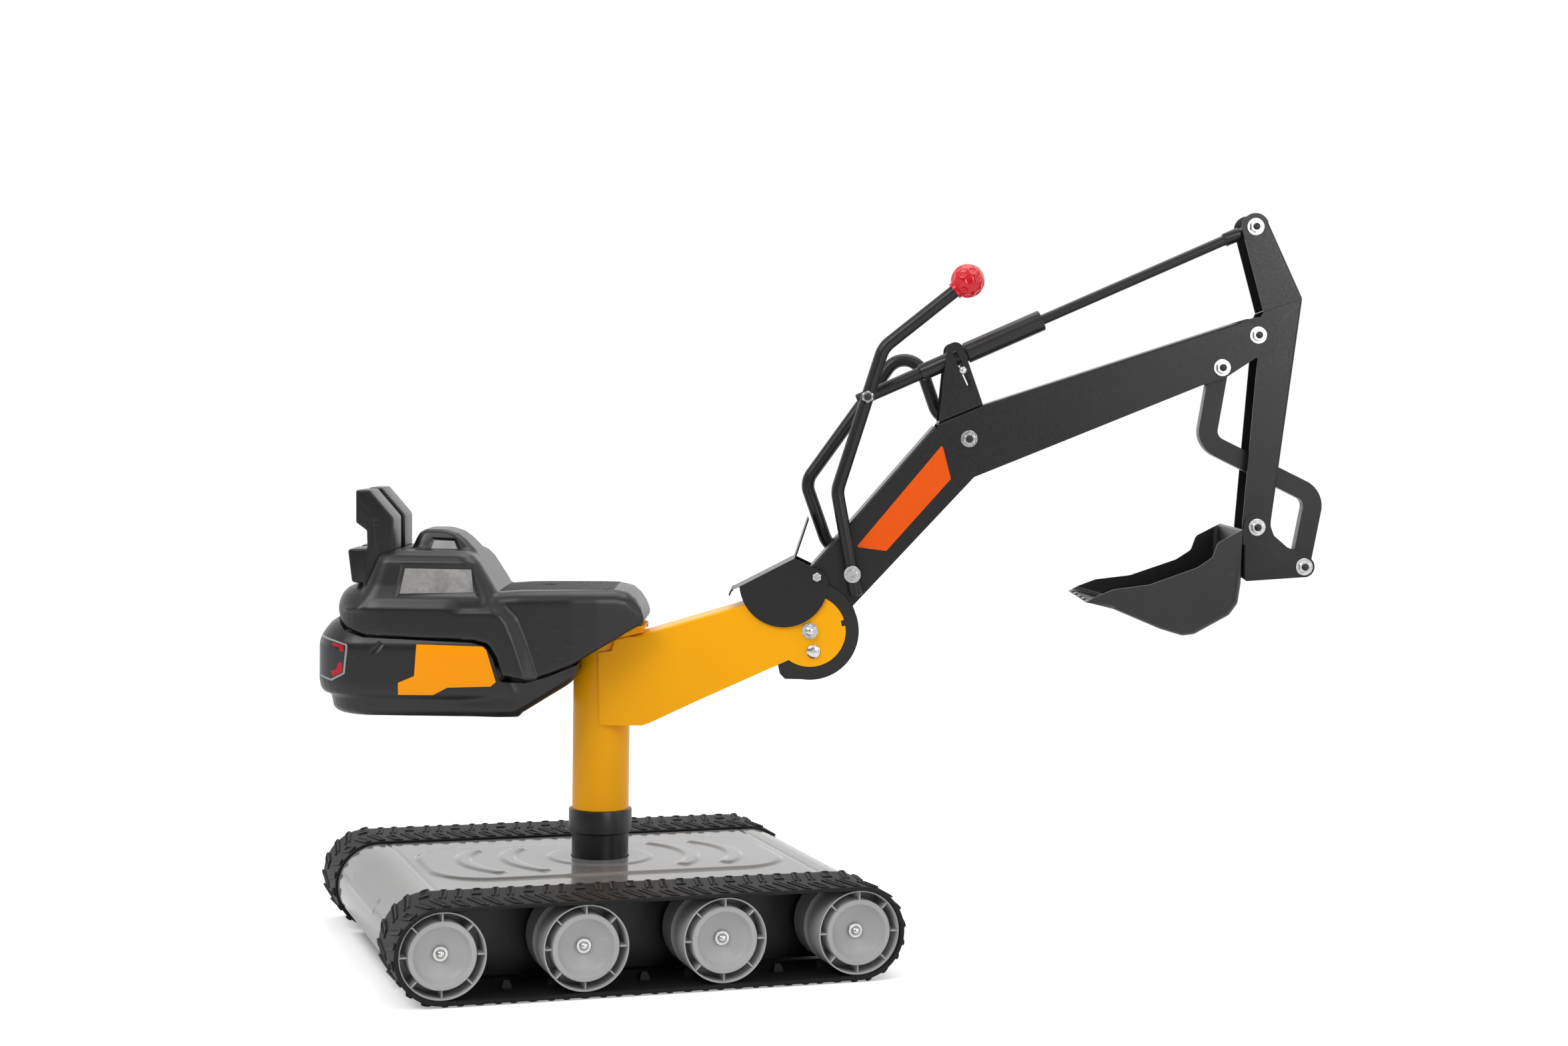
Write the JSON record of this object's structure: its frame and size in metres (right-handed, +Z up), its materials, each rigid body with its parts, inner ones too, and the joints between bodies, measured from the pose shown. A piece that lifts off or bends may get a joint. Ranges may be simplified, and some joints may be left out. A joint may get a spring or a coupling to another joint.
{
  "type": "ride on digger",
  "caption": "Ride-on sandpit digger: tracked base with wheels, slewing seat, and a hand-levered boom, dipper and bucket with a grab handle.",
  "frame": {"origin": "centre of the footprint's box at the ground under the tracks, in the rest pose", "axes": "+X the way the seat and boom face, +Y to the rider's left, +Z up"},
  "size_m": [1.0042, 0.5622, 0.7317],
  "materials": {
    "yellow_paint": "gloss",
    "black_steel": "textured powder coat",
    "black_plastic": "satin",
    "grey_plastic": "satin",
    "deck_paint": "gloss",
    "belt_rubber": "matt",
    "zinc": "zinc plated",
    "red_plastic": "gloss"
  },
  "bodies": {
    "base": {"axle_1": "zinc", "axle_2": "zinc", "axle_3": "zinc", "axle_4": "zinc", "chassis_frame": "black_steel", "deck_plate": "deck_paint", "pivot_post": "black_steel", "track_left": "belt_rubber", "track_right": "belt_rubber"},
    "upper": {"arm": "yellow_paint", "backrest": "black_plastic", "bearing_collar": "black_plastic", "column": "yellow_paint", "guard_screw_left": "zinc", "guard_screw_right": "zinc", "main_pivot_bolt": "zinc", "pivot_guard": "black_plastic", "seat_housing": "black_plastic", "seat_plate": "yellow_paint", "seat_shell": "black_plastic"},
    "boom": {"boom_lower": "yellow_paint", "boom_upper": "yellow_paint", "grab_handle": "black_steel", "guard_bolt": "zinc", "guard_hood": "black_steel", "knee_bolt": "zinc", "lever_bolt": "zinc", "link_bolt": "zinc", "slot_bracket": "yellow_paint", "stop_bolt": "zinc", "tip_pivot_bolt": "zinc"},
    "lever": {"lever_ball": "red_plastic", "lever_end_cap": "black_plastic", "lever_tube": "black_steel", "rod_pin_bolt": "zinc"},
    "push_rod_body": {"push_rod": "zinc", "rod_end": "zinc", "rod_sleeve": "black_plastic", "rod_sleeve_foot": "black_plastic"},
    "dipper": {"bucket_pivot_bolt": "zinc", "dipper_lower": "yellow_paint", "dipper_upper": "yellow_paint", "head_pin_bolt": "zinc"},
    "link": {"s_link": "black_steel"},
    "bucket": {"bucket_bracket": "yellow_paint", "bucket_shell": "black_plastic", "rear_pin_bolt": "zinc"},
    "wheel_right_1": {"wheel_right_1": "grey_plastic"},
    "wheel_right_2": {"wheel_right_2": "grey_plastic"},
    "wheel_right_3": {"wheel_right_3": "grey_plastic"},
    "wheel_right_4": {"wheel_right_4": "grey_plastic"},
    "wheel_left_1": {"wheel_left_1": "grey_plastic"},
    "wheel_left_2": {"wheel_left_2": "grey_plastic"},
    "wheel_left_3": {"wheel_left_3": "grey_plastic"},
    "wheel_left_4": {"wheel_left_4": "grey_plastic"}
  },
  "joints": [
    {"name": "slew", "type": "hinge", "parent": "base", "child": "upper", "pos_m": [-0.20351, 0, 0.15], "axis": [0, 0, 1], "continuous": true},
    {"name": "boom_lift", "type": "hinge", "parent": "upper", "child": "boom", "pos_m": [0.00109, 0, 0.3193], "axis": [0, 1, 0], "range_deg": [-5, 40]},
    {"name": "lever_pull", "type": "hinge", "parent": "boom", "child": "lever", "pos_m": [0.04149, 0, 0.3757], "axis": [0, 1, 0], "range_deg": [-20, 0]},
    {"name": "rod_pivot", "type": "hinge", "parent": "lever", "child": "push_rod_body", "pos_m": [0.05369, 0, 0.5483], "axis": [0, 1, 0], "range_deg": [0, 22]},
    {"name": "dipper_swing", "type": "hinge", "parent": "boom", "child": "dipper", "pos_m": [0.43319, 0, 0.6134], "axis": [0, 1, 0], "range_deg": [-31.5, 0]},
    {"name": "link_swing", "type": "hinge", "parent": "boom", "child": "link", "pos_m": [0.39879, 0, 0.5813], "axis": [0, 1, 0], "range_deg": [-40, 0]},
    {"name": "bucket_curl", "type": "hinge", "parent": "dipper", "child": "bucket", "pos_m": [0.43609, 0, 0.4264], "axis": [0, 1, 0], "range_deg": [-36.5, 0]},
    {"name": "roll_right_1", "type": "hinge", "parent": "base", "child": "wheel_right_1", "pos_m": [0.03888, -0.10269, 0.0457], "axis": [-0.3183, 0.948, 0], "continuous": true},
    {"name": "roll_right_2", "type": "hinge", "parent": "base", "child": "wheel_right_2", "pos_m": [-0.08569, -0.14451, 0.0457], "axis": [-0.3183, 0.948, 0], "continuous": true},
    {"name": "roll_right_3", "type": "hinge", "parent": "base", "child": "wheel_right_3", "pos_m": [-0.21025, -0.18634, 0.0457], "axis": [-0.3183, 0.948, 0], "continuous": true},
    {"name": "roll_right_4", "type": "hinge", "parent": "base", "child": "wheel_right_4", "pos_m": [-0.33482, -0.22816, 0.0457], "axis": [-0.3183, 0.948, 0], "continuous": true},
    {"name": "roll_left_1", "type": "hinge", "parent": "base", "child": "wheel_left_1", "pos_m": [-0.07221, 0.22816, 0.0457], "axis": [-0.3183, 0.948, 0], "continuous": true},
    {"name": "roll_left_2", "type": "hinge", "parent": "base", "child": "wheel_left_2", "pos_m": [-0.19677, 0.18634, 0.0457], "axis": [-0.3183, 0.948, 0], "continuous": true},
    {"name": "roll_left_3", "type": "hinge", "parent": "base", "child": "wheel_left_3", "pos_m": [-0.32134, 0.14451, 0.0457], "axis": [-0.3183, 0.948, 0], "continuous": true},
    {"name": "roll_left_4", "type": "hinge", "parent": "base", "child": "wheel_left_4", "pos_m": [-0.44591, 0.10269, 0.0457], "axis": [-0.3183, 0.948, 0], "continuous": true}
  ],
  "couplings": [
    {"joint": "rod_pivot", "follows": "lever_pull", "ratio": -1.085},
    {"joint": "dipper_swing", "follows": "lever_pull", "ratio": 1.56},
    {"joint": "link_swing", "follows": "lever_pull", "ratio": 1.98},
    {"joint": "bucket_curl", "follows": "lever_pull", "ratio": 1.8},
    {"joint": "roll_right_2", "follows": "roll_right_1", "ratio": 1},
    {"joint": "roll_right_3", "follows": "roll_right_1", "ratio": 1},
    {"joint": "roll_right_4", "follows": "roll_right_1", "ratio": 1},
    {"joint": "roll_left_2", "follows": "roll_left_1", "ratio": 1},
    {"joint": "roll_left_3", "follows": "roll_left_1", "ratio": 1},
    {"joint": "roll_left_4", "follows": "roll_left_1", "ratio": 1}
  ]
}
